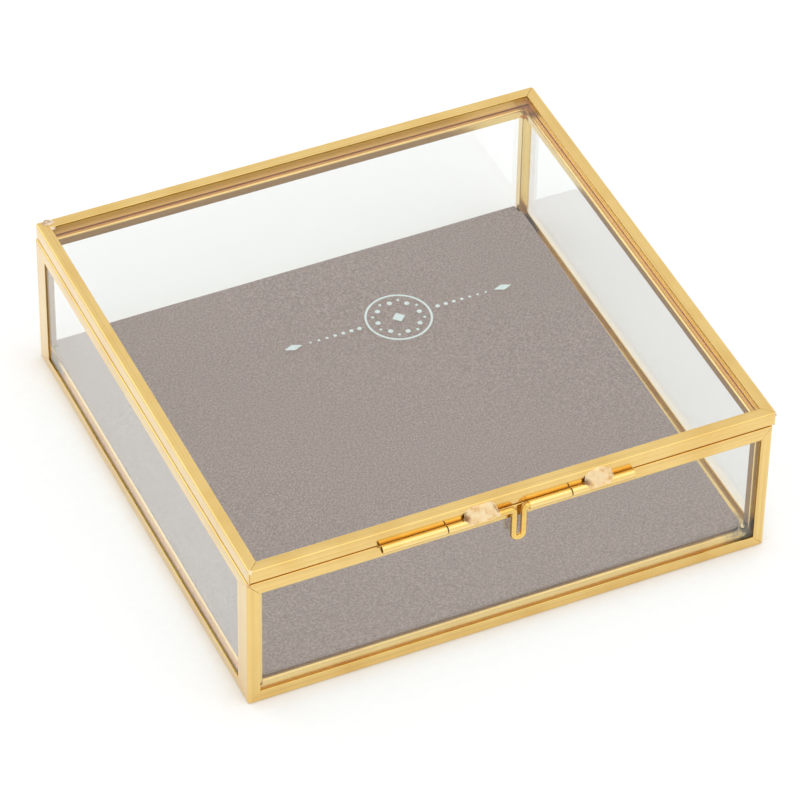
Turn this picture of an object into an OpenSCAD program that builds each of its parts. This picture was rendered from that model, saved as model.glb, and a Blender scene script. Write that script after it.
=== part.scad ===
// Glass casket box: a flat square box of clear panes in folded brass strips, with a glazed lid
// that turns on a wire pin along the front edge, and a suede pad on the floor.
// Millimetres, +Z up. The origin is the middle of the footprint, hinge included, on the ground.

/* [Overall] */
// Width of the lid over its brass strips, along the hinge
lid_w = 203.2; // [120:0.1:320]
// Depth of the lid over its brass strips, front to back
lid_d = 201; // [120:0.1:320]
// Height of the closed box
total_h = 64.65; // [45:0.05:140]
// Open gap between the front lid strip and the base rim
lid_gap = 1.15; // [0.3:0.05:2]
// Open gap between the other three lid strips and the base rim
lid_rest_gap = 0.3; // [0.1:0.05:2]
// How far the lid stands past the base at the front and the back
lid_overhang = 0.4; // [0:0.1:2]
// How much wider the lid is than the base, halved
lid_overhang_side = 0.1; // [0:0.1:2]
// How far the lid sits to the right of the base's middle
lid_shift = 0.6; // [0:0.1:1.5]

/* [Sheet and glass] */
// Thickness of the folded brass sheet
sheet = 0.5; // [0.3:0.1:1]
// Thickness of every pane
glass = 2; // [1.5:0.1:4]
// Rounding of the upright outer corners
corner_round = 1.2; // [0.2:0.1:1.4]

/* [Lid strips] */
// Height of the upright face of the front lid strip
lid_face_h = 5.4; // [4:0.1:10]
// Width of the flat flange on top of the lid glass
lid_flange_w = 4.5; // [3:0.1:10]
// Distance from a lid strip's face to the inner wall that holds the glass from below
lid_lip_w = 3; // [1:0.1:6]

/* [Base rims] */
// Height of the upright face of the top rim
top_rim_h = 5.2; // [4:0.1:10]
// Height of the upright face of the bottom rim
bottom_rim_h = 5; // [4:0.1:10]
// Width of a rim channel, from its outer face to its inner face
rim_w = 5; // [4:0.1:9]
// Height of the inner leg of the top rim
top_inner_h = 3.2; // [2:0.1:8]
// Height of the ledge that carries the pad, above the ground
ledge_top = 6.3; // [5.5:0.1:12]
// Width of the ledge inside the bottom rim
ledge_w = 3.5; // [2:0.1:8]

/* [Posts] */
// Width of the left posts on the front and back faces
post_face_left = 4.6; // [3:0.1:9]
// Width of the right posts on the front and back faces
post_face_right = 4.5; // [3:0.1:9]
// Width of the left posts on the left face
post_side_left = 9.1; // [3:0.1:14]
// Width of the right posts on the right face
post_side_right = 4.5; // [3:0.1:14]
// Side of the square tube inside each corner
post_tube = 3.7; // [2.5:0.1:7]

/* [Floor] */
// Thickness of the hidden bottom panel
panel_t = 2; // [1:0.1:4]
// Thickness of the suede pad
pad_t = 1.8; // [1:0.1:4]
// Space between the pad and the base's front face
pad_inset_front = 6.2; // [3:0.1:10]
// Space between the pad and the base's back face
pad_inset_back = 3.9; // [3:0.1:10]
// Space between the pad and the base's left face
pad_inset_left = 4.8; // [3:0.1:10]
// Space between the pad and the base's right face
pad_inset_right = 5.9; // [3:0.1:10]
// Space between the pad and the solder at the foot of the post tubes
pad_clear = 0.4; // [0.1:0.1:1]
// Radius of the pad's corners
pad_corner_r = 2; // [0.5:0.5:6]

/* [Hinge] */
// Outside diameter of the hinge tubes
knuckle_d = 3.1; // [2.4:0.1:6]
// Diameter of the pin wire
wire_d = 2.35; // [1.2:0.05:4]
// Radial running clearance between the wire and a tube
pin_clear = 0.05; // [0.01:0.01:0.1]
// Distance from the base's front face to the back of the tubes
knuckle_standoff = 0.3; // [0.2:0.05:2]
// Height of the hinge line above the base rim
hinge_rise = 0.1; // [0:0.05:1]
// Length of the left base tube
base_tube_left_l = 24.7; // [12:0.1:40]
// Length of the left lid tube
lid_tube_left_l = 18.1; // [12:0.1:40]
// Length of the middle base tube
base_tube_mid_l = 16.3; // [10:0.1:40]
// Length of the right lid tube
lid_tube_right_l = 24.4; // [12:0.1:40]
// Space between neighbouring tube ends
tube_gap = 0.4; // [0.1:0.1:1]
// Bare wire between the loop's left bend and the left lid tube
bare_left = 6; // [3:0.1:15]
// How deep the pin end sits inside the left base tube
pin_recess = 2; // [0.5:0.5:6]

/* [Pin loop] */
// Distance between the centre lines of the loop's two legs
loop_gap = 3.8; // [3:0.1:8]
// Drop of the loop's lowest point below the hinge line
loop_drop = 15; // [8:0.5:25]
// Bend radius of the wire where a leg leaves the hinge line
bend_r = 1.5; // [1.3:0.1:3]

/* [Solder] */
// Height of the base tubes' solder below the hinge line
base_solder_h = 1.5; // [0.8:0.1:3]
// Width of the left solder blob on the lid
blob_left_w = 9.6; // [5:0.1:15]
// Width of the right solder blob on the lid
blob_right_w = 7.3; // [5:0.1:15]
// Distance from the right lid tube's left end to its solder blob
blob_right_from = 7.1; // [2:0.1:12]
// Radius of the solder beads on the front right corners
bead_r = 1; // [0.6:0.1:2]

/* [View] */
// Which node to show

/* [Hidden] */
$fn = 48;

BRASS = [0.93, 0.79, 0.5];
SOLDER = [0.93, 0.82, 0.64];
GLASS = [0.85, 0.9, 0.9, 0.35];
SUEDE = [0.66, 0.62, 0.58];

// A little extra length for cutting shapes, and a length longer than the box.
cut = 1;
far = lid_w + lid_d + total_h;

// Base sizes and levels.
base_w = lid_w - 2 * lid_overhang_side;
base_d = lid_d - 2 * lid_overhang;
base_top = total_h - lid_face_h - lid_gap;
lid_bottom_front = base_top + lid_gap;
lid_bottom_rest = base_top + lid_rest_gap;
lid_glass_low = total_h - sheet - glass;
rim_ceiling = base_top - sheet;
top_inner_bottom = rim_ceiling - top_inner_h;
ledge_bottom = ledge_top - sheet;
wall_in = sheet + glass;
web_in = wall_in + sheet;

// Hinge line, measured from the middle of the base.
knuckle_r = knuckle_d / 2;
wire_r = wire_d / 2;
bore_r = wire_r + pin_clear;
hinge_y = -base_d / 2 - knuckle_standoff - knuckle_r;
hinge_z = base_top + hinge_rise;

// Along the hinge line, with the loop's middle at zero.
leg_x = loop_gap / 2;
loop_side = leg_x + bend_r;
lid_tube_left_x = -loop_side - bare_left - lid_tube_left_l;
base_tube_left_x = lid_tube_left_x - tube_gap - base_tube_left_l;
base_tube_mid_x = loop_side + tube_gap / 2;
lid_tube_right_x = base_tube_mid_x + base_tube_mid_l + tube_gap;
pin_end_right = lid_tube_right_x + lid_tube_right_l;
blob_left_x = lid_tube_left_x + lid_tube_left_l - blob_left_w;
blob_right_x = lid_tube_right_x + blob_right_from;

// The hinge stands out in front and the lid to the right, so the base moves to centre the footprint.
hinge_reach = -hinge_y + knuckle_r;
shift_y = (hinge_reach - lid_d / 2) / 2;
lid_right = max(lid_w / 2 + lid_shift, base_w / 2);
lid_left = min(-lid_w / 2 + lid_shift, -base_w / 2);
shift_x = -(lid_right + lid_left) / 2;

module box_frame() {
    translate([shift_x, shift_y, 0]) children();
}

// The lid and the hinge share a frame that is set to the right of the base's.
module lid_frame() {
    box_frame() translate([lid_shift, 0, 0]) children();
}

// Upright block with rounded corners, centred on the box.
module rounded_block(w, d, z0, z1) {
    r = corner_round;
    translate([0, 0, z0]) {
        translate([-w / 2 + r, -d / 2, 0]) cube([w - 2 * r, d, z1 - z0]);
        translate([-w / 2, -d / 2 + r, 0]) cube([w, d - 2 * r, z1 - z0]);
        for (sx = [-1, 1], sy = [-1, 1])
            translate([sx * (w / 2 - r), sy * (d / 2 - r), 0]) cylinder(h = z1 - z0, r = r);
    }
}

// One strip along -Y of a w by d frame: a profile of [inset, height] points, mitred at both ends.
module mitred_strip(w, d, profile) {
    intersection() {
        translate([-w / 2, -d / 2, 0]) rotate([90, 0, 90]) linear_extrude(w) polygon(profile);
        linear_extrude(far) polygon([
            [-w / 2, -d / 2], [w / 2, -d / 2],
            [w / 2 - d / 2, 0], [-w / 2 + d / 2, 0]
        ]);
        rounded_block(w, d, 0, total_h);
    }
}

// Puts a strip that was drawn along -Y on one side of the frame: 0 front, 1 right, 2 back, 3 left.
module on_side(side) {
    rotate([0, 0, 90 * side]) children();
}

// Width of the frame as the strip on a side sees it, and its depth.
function along(side, w, d) = side % 2 == 0 ? w : d;
function across(side, w, d) = side % 2 == 0 ? d : w;

top_rim_profile = [
    [0, base_top - top_rim_h], [sheet, base_top - top_rim_h], [sheet, rim_ceiling],
    [rim_w - sheet, rim_ceiling], [rim_w - sheet, top_inner_bottom], [rim_w, top_inner_bottom],
    [rim_w, base_top], [0, base_top]
];

bottom_rim_profile = [
    [0, 0], [rim_w, 0], [rim_w, ledge_bottom], [rim_w + ledge_w, ledge_bottom],
    [rim_w + ledge_w, ledge_top], [rim_w - sheet, ledge_top], [rim_w - sheet, sheet],
    [sheet, sheet], [sheet, bottom_rim_h], [0, bottom_rim_h]
];

function lid_profile(low) = [
    [0, low], [sheet + lid_lip_w, low],
    [sheet + lid_lip_w, lid_glass_low], [lid_lip_w, lid_glass_low],
    [lid_lip_w, low + sheet], [sheet, low + sheet],
    [sheet, total_h - sheet], [lid_flange_w, total_h - sheet], [lid_flange_w, total_h], [0, total_h]
];

// One face of a post's outer L, with a slanted seam where it meets each rim.
module post_leg(face_w) {
    rotate([90, 0, 0]) translate([0, 0, -sheet]) linear_extrude(sheet) polygon([
        [0, 0], [face_w, bottom_rim_h], [face_w, base_top - top_rim_h], [0, base_top]
    ]);
}

// Outer L of a post, in the corner where both faces start.
module post_outer(sx) {
    post_leg(sx > 0 ? post_face_right : post_face_left);
    mirror([1, -1, 0]) post_leg(sx > 0 ? post_side_right : post_side_left);
}

// Moves a post from its own corner to a corner of the base and mirrors it to suit.
module at_corner(sx, sy) {
    mirror([sx > 0 ? 1 : 0, 0, 0]) mirror([0, sy > 0 ? 1 : 0, 0])
        translate([-base_w / 2, -base_d / 2, 0]) children();
}

module all_post_outers() {
    for (sx = [-1, 1], sy = [-1, 1]) at_corner(sx, sy) post_outer(sx);
}

module post(sx, sy) {
    color(BRASS) box_frame() intersection() {
        at_corner(sx, sy) {
            post_outer(sx);
            translate([wall_in, wall_in, ledge_top]) difference() {
                cube([post_tube, post_tube, top_inner_bottom - ledge_top]);
                translate([sheet, sheet, -cut])
                    cube([post_tube - 2 * sheet, post_tube - 2 * sheet, base_top]);
            }
            // Solder web that ties the tube to the L between the edges of two panes.
            translate([sheet, sheet, ledge_top])
                cube([web_in - sheet, web_in - sheet, top_inner_bottom - ledge_top]);
        }
        rounded_block(base_w, base_d, 0, base_top);
    }
}

module base_rim(side, profile) {
    color(BRASS) box_frame() difference() {
        on_side(side) mitred_strip(along(side, base_w, base_d), across(side, base_w, base_d), profile);
        all_post_outers();
    }
}

// One pane behind a face, between the corner webs.
module pane(side) {
    inner_w = along(side, base_w, base_d) - 2 * web_in;
    color(GLASS) box_frame() on_side(side)
        translate([-inner_w / 2, -across(side, base_w, base_d) / 2 + sheet, sheet])
            cube([inner_w, glass, rim_ceiling - sheet]);
}

module bottom_panel() {
    w = base_w - 2 * rim_w;
    d = base_d - 2 * rim_w;
    color(GLASS) box_frame() translate([-w / 2, -d / 2, ledge_bottom - panel_t]) cube([w, d, panel_t]);
}

// The pad's four edges, as distances from the middle of the box, and the notch at each corner.
notch_in = wall_in + post_tube + bead_r + pad_clear;
pad_front = -base_d / 2 + pad_inset_front;
pad_right = base_w / 2 - pad_inset_right;
pad_back = base_d / 2 - pad_inset_back;
pad_left = -base_w / 2 + pad_inset_left;

module suede_pad() {
    color(SUEDE) box_frame() difference() {
        translate([0, 0, ledge_top]) {
            r = pad_corner_r;
            translate([pad_left + r, pad_front, 0])
                cube([pad_right - pad_left - 2 * r, pad_back - pad_front, pad_t]);
            translate([pad_left, pad_front + r, 0])
                cube([pad_right - pad_left, pad_back - pad_front - 2 * r, pad_t]);
            for (x = [pad_left + r, pad_right - r], y = [pad_front + r, pad_back - r])
                translate([x, y, 0]) cylinder(h = pad_t, r = r);
        }
        for (sx = [-1, 1], sy = [-1, 1]) at_corner(sx, sy)
            translate([0, 0, ledge_top - cut]) cube([notch_in, notch_in, pad_t + 2 * cut]);
    }
}

// A hinge tube that starts at x and runs to the right.
module hinge_tube(x, length) {
    color(BRASS) lid_frame() translate([x, hinge_y, hinge_z]) rotate([0, 90, 0]) difference() {
        cylinder(h = length, r = knuckle_r);
        translate([0, 0, -cut]) cylinder(h = length + 2 * cut, r = bore_r);
    }
}

// Solder between a base tube and the rim's face, all below the lid.
module base_tube_solder(x, length) {
    color(SOLDER) lid_frame() difference() {
        translate([x, hinge_y, hinge_z - base_solder_h])
            cube([length, knuckle_standoff + knuckle_r, base_solder_h - hinge_rise]);
        translate([x - cut, hinge_y, hinge_z]) rotate([0, 90, 0])
            cylinder(h = length + 2 * cut, r = knuckle_r);
    }
}

// Lumpy solder between a lid tube and the lid's face, with a rounded outline seen from the front.
module lid_tube_solder(x, width) {
    face_y = -lid_d / 2 - hinge_y;
    top = total_h - hinge_z - sheet / 2;
    low = lid_gap - hinge_rise;
    middle = (top + low) / 2;
    color(SOLDER) lid_frame() translate([x, hinge_y, hinge_z]) difference() {
        intersection() {
            rotate([90, 0, 90]) linear_extrude(width) polygon([
                [face_y, low], [face_y, top], [face_y - sheet, top],
                [-knuckle_r / 2, knuckle_r], [0, low]
            ]);
            translate([width / 2, -knuckle_r, middle]) rotate([-90, 0, 0])
                cylinder(h = knuckle_r + face_y, r = norm([width / 2, (top - low) / 2]) * 0.95);
        }
        translate([-cut, 0, 0]) rotate([0, 90, 0]) cylinder(h = width + 2 * cut, r = knuckle_r);
    }
}

// Quarter bend of the pin wire, in the XZ plane, from the point on its left to the one below.
module wire_bend() {
    rotate([90, 0, 0]) rotate_extrude(angle = 90) translate([bend_r, 0]) circle(r = wire_r);
}

module wire_along(x0, x1) {
    translate([x0, 0, 0]) rotate([0, 90, 0]) cylinder(h = x1 - x0, r = wire_r);
}

module hinge_pin() {
    leg_bottom = -(loop_drop - wire_r - leg_x);
    color(BRASS) lid_frame() translate([0, hinge_y, hinge_z]) {
        wire_along(base_tube_left_x + pin_recess, -loop_side);
        wire_along(loop_side, pin_end_right);
        for (s = [0, 1]) mirror([s, 0, 0]) {
            translate([-loop_side, 0, -bend_r]) wire_bend();
            translate([-leg_x, 0, leg_bottom]) cylinder(h = -bend_r - leg_bottom, r = wire_r);
        }
        translate([0, 0, leg_bottom]) rotate([90, 180, 0]) rotate_extrude(angle = 180)
            translate([leg_x, 0]) circle(r = wire_r);
    }
}

module lid_strip(side) {
    low = side == 0 ? lid_bottom_front : lid_bottom_rest;
    color(BRASS) lid_frame() on_side(side)
        mitred_strip(along(side, lid_w, lid_d), across(side, lid_w, lid_d), lid_profile(low));
}

module lid_strip_front() { lid_strip(0); }
module lid_strip_right() { lid_strip(1); }
module lid_strip_back() { lid_strip(2); }
module lid_strip_left() { lid_strip(3); }

module lid_glass() {
    w = lid_w - 2 * sheet;
    d = lid_d - 2 * sheet;
    color(GLASS) lid_frame()
        translate([-w / 2, -d / 2, lid_glass_low]) cube([w, d, glass]);
}

module post_front_left() { post(-1, -1); }
module post_front_right() { post(1, -1); }
module post_back_left() { post(-1, 1); }
module post_back_right() { post(1, 1); }

module base_top_rim_front() { base_rim(0, top_rim_profile); }
module base_top_rim_right() { base_rim(1, top_rim_profile); }
module base_top_rim_back() { base_rim(2, top_rim_profile); }
module base_top_rim_left() { base_rim(3, top_rim_profile); }

module base_bottom_rim_front() { base_rim(0, bottom_rim_profile); }
module base_bottom_rim_right() { base_rim(1, bottom_rim_profile); }
module base_bottom_rim_back() { base_rim(2, bottom_rim_profile); }
module base_bottom_rim_left() { base_rim(3, bottom_rim_profile); }

module pane_front() { pane(0); }
module pane_right() { pane(1); }
module pane_back() { pane(2); }
module pane_left() { pane(3); }

module hinge_tube_base_left() { hinge_tube(base_tube_left_x, base_tube_left_l); }
module hinge_tube_base_middle() { hinge_tube(base_tube_mid_x, base_tube_mid_l); }
module hinge_tube_lid_left() { hinge_tube(lid_tube_left_x, lid_tube_left_l); }
module hinge_tube_lid_right() { hinge_tube(lid_tube_right_x, lid_tube_right_l); }

module hinge_solder_base_left() { base_tube_solder(base_tube_left_x, base_tube_left_l); }
module hinge_solder_base_middle() { base_tube_solder(base_tube_mid_x, base_tube_mid_l); }
module hinge_solder_lid_left() { lid_tube_solder(blob_left_x, blob_left_w); }
module hinge_solder_lid_right() { lid_tube_solder(blob_right_x, blob_right_w); }

// Bead in the inner corner where the front right post meets the ledge.
module base_corner_solder() {
    color(SOLDER) box_frame() at_corner(1, -1)
        translate([wall_in + post_tube, wall_in + post_tube, ledge_top]) difference() {
            sphere(r = bead_r);
            translate([-bead_r - cut, -bead_r - cut, -bead_r - cut])
                cube([2 * (bead_r + cut), 2 * (bead_r + cut), bead_r + cut]);
            translate([-bead_r - cut, -bead_r - cut, -cut])
                cube([bead_r + cut, bead_r + cut, 2 * (bead_r + cut)]);
        }
}

// Bead under the front right corner of the lid glass, where two inner walls meet.
module lid_corner_solder() {
    color(SOLDER) lid_frame()
        translate([lid_w / 2 - sheet - lid_lip_w, -lid_d / 2 + sheet + lid_lip_w, lid_glass_low])
            intersection() {
                sphere(r = bead_r);
                translate([-bead_r - cut, 0, -bead_r - cut]) cube([bead_r + cut, bead_r + cut, bead_r + cut]);
            }
}

post_front_left();
post_front_right();
post_back_left();
post_back_right();
base_top_rim_front();
base_top_rim_back();
base_top_rim_left();
base_top_rim_right();
base_bottom_rim_front();
base_bottom_rim_back();
base_bottom_rim_left();
base_bottom_rim_right();
pane_front();
pane_back();
pane_left();
pane_right();
bottom_panel();
suede_pad();
hinge_tube_base_left();
hinge_tube_base_middle();
hinge_solder_base_left();
hinge_solder_base_middle();
base_corner_solder();
hinge_pin();
lid_strip_front();
lid_strip_back();
lid_strip_left();
lid_strip_right();
lid_glass();
hinge_tube_lid_left();
hinge_tube_lid_right();
hinge_solder_lid_left();
hinge_solder_lid_right();
lid_corner_solder();
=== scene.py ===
"""Glass casket box: brass framed panes, a hinged glass lid with a pale print, and a suede pad."""

import math

import bpy
from mathutils import Matrix, Vector, noise


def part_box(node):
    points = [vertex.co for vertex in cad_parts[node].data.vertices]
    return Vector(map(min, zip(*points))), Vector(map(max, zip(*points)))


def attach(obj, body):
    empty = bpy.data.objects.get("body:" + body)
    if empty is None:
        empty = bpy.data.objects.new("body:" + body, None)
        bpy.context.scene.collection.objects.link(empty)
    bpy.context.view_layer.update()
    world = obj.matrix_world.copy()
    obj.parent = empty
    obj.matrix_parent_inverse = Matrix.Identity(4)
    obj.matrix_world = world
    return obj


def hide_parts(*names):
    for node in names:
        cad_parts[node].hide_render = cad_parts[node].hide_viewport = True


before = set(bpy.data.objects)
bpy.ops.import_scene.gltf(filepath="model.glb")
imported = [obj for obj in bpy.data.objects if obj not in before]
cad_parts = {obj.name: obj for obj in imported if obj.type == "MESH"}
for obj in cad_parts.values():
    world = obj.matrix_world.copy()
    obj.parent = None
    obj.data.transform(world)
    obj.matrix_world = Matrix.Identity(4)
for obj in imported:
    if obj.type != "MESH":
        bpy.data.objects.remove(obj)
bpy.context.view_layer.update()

MM = 0.001

# ---------------------------------------------------------------- places taken from the frame
base_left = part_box("post_front_left")[0].x
base_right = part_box("post_front_right")[1].x
base_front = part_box("post_front_left")[0].y
base_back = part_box("post_back_left")[1].y
base_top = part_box("base_top_rim_front")[1].z
lid_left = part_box("lid_strip_left")[0].x
lid_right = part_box("lid_strip_right")[1].x
lid_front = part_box("lid_strip_front")[0].y
lid_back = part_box("lid_strip_back")[1].y
lid_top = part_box("lid_strip_front")[1].z
glass_low, glass_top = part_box("lid_glass")[0].z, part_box("lid_glass")[1].z
pad_low, pad_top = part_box("suede_pad")[0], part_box("suede_pad")[1]

base_w = base_right - base_left
base_d = base_back - base_front
lid_w = lid_right - lid_left
lid_d = lid_back - lid_front
base_x = (base_left + base_right) / 2
lid_x = (lid_left + lid_right) / 2
middle_y = (base_front + base_back) / 2

sheet = lid_top - glass_top
pane_t = glass_top - glass_low
lid_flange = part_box("lid_strip_front")[1].y - lid_front
lid_lip = 3 * MM
rim_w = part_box("base_top_rim_front")[1].y - base_front
top_rim_h = base_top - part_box("base_top_rim_front")[0].z
top_inner_h = 3.2 * MM
bottom_rim_h = 5 * MM
ledge_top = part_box("base_bottom_rim_front")[1].z
ledge_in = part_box("base_bottom_rim_front")[1].y - base_front
post_face_left, post_face_right = 4.6 * MM, 4.5 * MM
post_side_left, post_side_right = 9.1 * MM, 4.5 * MM
post_tube = 3.7 * MM
tube_in = sheet + pane_t
tube_out = tube_in + post_tube
corner_round = 1.2 * MM
off_glass = 0.06 * MM

hinge_low, hinge_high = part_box("hinge_tube_base_left")
hinge_y = (hinge_low.y + hinge_high.y) / 2
hinge_z = (hinge_low.z + hinge_high.z) / 2
tube_r = (hinge_high.z - hinge_low.z) / 2
pin_low, pin_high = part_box("hinge_pin")
wire_r = (pin_high.y - pin_low.y) / 2
pin_clear = 0.05 * MM
bore_r = wire_r + pin_clear
tube_gap = 0.4 * MM


# ---------------------------------------------------------------- node helpers
X, Y, Z = 0, 1, 2
MASK_EDGE = 0.2 * MM


class Nodes:
    """A short way to make and link shader nodes in one material."""

    def __init__(self, name):
        self.material = bpy.data.materials.new(name)
        self.material.use_nodes = True
        self.tree = self.material.node_tree
        self.tree.nodes.clear()
        self.output = self.tree.nodes.new("ShaderNodeOutputMaterial")
        coordinates = self.tree.nodes.new("ShaderNodeTexCoord")
        self.place = coordinates.outputs["Object"]

    def add(self, kind, **values):
        node = self.tree.nodes.new("ShaderNode" + kind)
        for key, value in values.items():
            setattr(node, key, value)
        return node

    def link(self, a, b):
        self.tree.links.new(a, b)

    def stretched(self, scale):
        """The object's own coordinates, multiplied per axis."""
        mapping = self.add("Mapping")
        mapping.inputs["Scale"].default_value = scale
        self.link(self.place, mapping.inputs["Vector"])
        return mapping.outputs["Vector"]

    def noise(self, vector, scale, detail=3.0, rough=0.5):
        node = self.add("TexNoise")
        node.inputs["Scale"].default_value = scale
        node.inputs["Detail"].default_value = detail
        node.inputs["Roughness"].default_value = rough
        self.link(vector, node.inputs["Vector"])
        return node.outputs["Fac"]

    def ramp(self, value, stops):
        """A colour ramp of (position, colour) stops."""
        node = self.add("ValToRGB")
        elements = node.color_ramp.elements
        elements[0].position, elements[0].color = stops[0][0], (*stops[0][1], 1)
        elements[1].position, elements[1].color = stops[-1][0], (*stops[-1][1], 1)
        for position, colour in stops[1:-1]:
            element = elements.new(position)
            element.color = (*colour, 1)
        self.link(value, node.inputs["Fac"])
        return node.outputs["Color"]

    def spread(self, value, low, high, from_low=0.3, from_high=0.7):
        """Maps a value's usual range onto low to high."""
        node = self.add("MapRange")
        node.inputs["From Min"].default_value = from_low
        node.inputs["From Max"].default_value = from_high
        node.inputs["To Min"].default_value = low
        node.inputs["To Max"].default_value = high
        self.link(value, node.inputs["Value"])
        return node.outputs["Result"]

    def mix(self, factor, a, b, blend="MIX"):
        node = self.add("Mix", data_type="RGBA", blend_type=blend)
        for value, socket in ((factor, node.inputs[0]), (a, node.inputs[6]), (b, node.inputs[7])):
            if isinstance(value, (int, float)):
                socket.default_value = value
            elif isinstance(value, tuple):
                socket.default_value = (*value, 1)
            else:
                self.link(value, socket)
        return node.outputs[2]

    def near(self, point, radius):
        """1 at a point of the object, falling to 0 at a distance."""
        node = self.add("VectorMath", operation="DISTANCE")
        node.inputs[1].default_value = point
        self.link(self.place, node.inputs[0])
        return self.spread(node.outputs["Value"], 1.0, 0.0, 0.0, radius)

    def beyond(self, axis, limit, sign=1.0):
        """1 where the object's coordinate on an axis is past a limit (or short of it, with sign -1)."""
        parts = self.add("SeparateXYZ")
        self.link(self.place, parts.inputs[0])
        return self.spread(parts.outputs[axis], 0.0, 1.0, limit, limit + sign * MASK_EDGE)

    def math_node(self, operation, a, b):
        """Two values put together by a Math node, kept between 0 and 1."""
        node = self.add("Math", operation=operation, use_clamp=True)
        self.link(a, node.inputs[0])
        self.link(b, node.inputs[1])
        return node.outputs[0]

    def product(self, a, b):
        return self.math_node("MULTIPLY", a, b)

    def between(self, axis, low, high):
        """1 where the object's coordinate on an axis lies between two limits."""
        return self.product(self.beyond(axis, low), self.beyond(axis, high, -1.0))

    def bump(self, height, strength, distance, after=None):
        node = self.add("Bump")
        node.inputs["Strength"].default_value = strength
        node.inputs["Distance"].default_value = distance
        self.link(height, node.inputs["Height"])
        if after is not None:
            self.link(after, node.inputs["Normal"])
        return node.outputs["Normal"]

    def principled(self, **values):
        node = self.add("BsdfPrincipled")
        for key, value in values.items():
            socket = node.inputs[key]
            if hasattr(value, "links"):
                self.link(value, socket)
            else:
                socket.default_value = value
        return node

    def finish(self, shader):
        self.link(shader, self.output.inputs["Surface"])
        return self.material


def drawn_along(axis, slow, fast):
    """Scales for a pattern that is drawn out along one axis."""
    return tuple(slow if each == axis else fast for each in (X, Y, Z))


def shade(colour, amount):
    return tuple(c * amount for c in colour)


MARK_COLOUR = (0.78, 0.42, 0.16)
# Painted shade colour for the lid's walls under the glass.
PAINTED_WALL_SHADE = (0.82, 0.44, 0.04)
JOINT_DARK_COLOUR = (0.09, 0.035, 0.01)
PATCH_STOPS = [(0.35, (0.07, 0.065, 0.045)), (0.65, (0.26, 0.22, 0.14))]
PATCH_BEHIND_FACE = 0.8 * MM
PATCH_RADIUS = 11 * MM
WALL_BEHIND_FACE = 0.7 * MM
WALL_ABOVE_RIM = 0.1 * MM
JOINT_DARK_REACH = 2.2 * MM


def brass(name, grain, light, deep, rough_low, rough_high, dark_patch=None, joints=()):
    """Lacquered satin brass, with faint lines along the strip, soft tone changes and a few marks. The lid's
    walls under the glass get a painted shade: a darker, duller amber with less metal, standing in for the
    shade and the light bounced between the brass walls there. It can have a patchy dark grey patch round a
    point inside the box's corner, and it can have near-black darkening at the joints between the hinge tubes."""
    n = Nodes(name)
    lines = n.noise(n.stretched(drawn_along(grain, 60, 2600)), 1.0, 4.0, 0.6)
    tone = n.noise(n.place, 48.0, 3.0, 0.5)
    marks = n.noise(n.place, 520.0, 5.0, 0.62)
    streaks = n.noise(n.stretched(drawn_along(grain, 9, 1000)), 1.0, 2.0, 0.5)
    middling = tuple(0.6 * a + 0.4 * b for a, b in zip(light, deep))
    colour = n.ramp(tone, [(0.3, deep), (0.55, light), (0.75, middling)])
    colour = n.mix(n.spread(lines, 0.0, 0.14), colour, shade(deep, 0.82))
    colour = n.mix(n.spread(streaks, 0.0, 0.4, 0.48, 0.7), colour, shade(deep, 0.8))
    colour = n.mix(n.spread(marks, 0.0, 0.2, 0.6, 0.8), colour, MARK_COLOUR)
    rough = n.spread(lines, rough_low, rough_high)
    if dark_patch:
        # A patchy dark grey patch round the given point, only on the inner faces of the corner.
        grey = n.ramp(n.noise(n.place, 900.0, 3.0), PATCH_STOPS)
        behind_face = n.beyond(Y, base_front + PATCH_BEHIND_FACE)
        inside_face = n.beyond(X, base_right - PATCH_BEHIND_FACE, -1.0)
        patchy = n.product(n.near(dark_patch, PATCH_RADIUS), n.spread(n.noise(n.place, 350.0, 4.0), 0.3, 1.9))
        colour = n.mix(n.product(patchy, n.product(behind_face, inside_face)), colour, grey)
    # Painted shade: under the glass the lid's walls turn a darker, duller amber and lose some metal, standing
    # in for the shade and the light bounced between the brass walls there.
    under_glass = n.between(Z, base_top + WALL_ABOVE_RIM, glass_top)
    for axis, low, high in ((X, lid_left, lid_right), (Y, lid_front, lid_back)):
        within = n.between(axis, low + WALL_BEHIND_FACE, high - WALL_BEHIND_FACE)
        under_glass = n.product(under_glass, within)
    colour = n.mix(under_glass, colour, PAINTED_WALL_SHADE)
    metal = n.spread(under_glass, 1.0, 0.35, 0.0, 1.0)
    # Near-black darkening of the wire round each given point between the hinge tubes.
    for point in joints:
        darkening = n.spread(n.near(point, JOINT_DARK_REACH), 0.0, 1.0, 0.1, 0.4)
        colour = n.mix(darkening, colour, JOINT_DARK_COLOUR)
    normal = n.bump(lines, 0.05, 0.00001)
    normal = n.bump(tone, 0.06, 0.0003, normal)
    normal = n.bump(marks, 0.05, 0.00002, normal)
    shader = n.principled(**{
        "Base Color": colour, "Metallic": metal, "Roughness": rough, "Normal": normal,
        "Coat Weight": 0.9, "Coat Roughness": 0.14, "Coat IOR": 1.6,
    })
    return n.finish(shader.outputs[0])


SOLDER_STOPS = [(0.3, (0.74, 0.45, 0.19)), (0.45, (0.88, 0.65, 0.36)), (0.68, (0.93, 0.76, 0.48))]
PIT_COLOUR = (0.7, 0.45, 0.24)
# Painted shadow colour beside the lid blobs.
PAINTED_SHADOW_COLOUR = (0.13, 0.03, 0.01)
SHADOW_SPOT_RADIUS = 2 * MM


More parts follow.
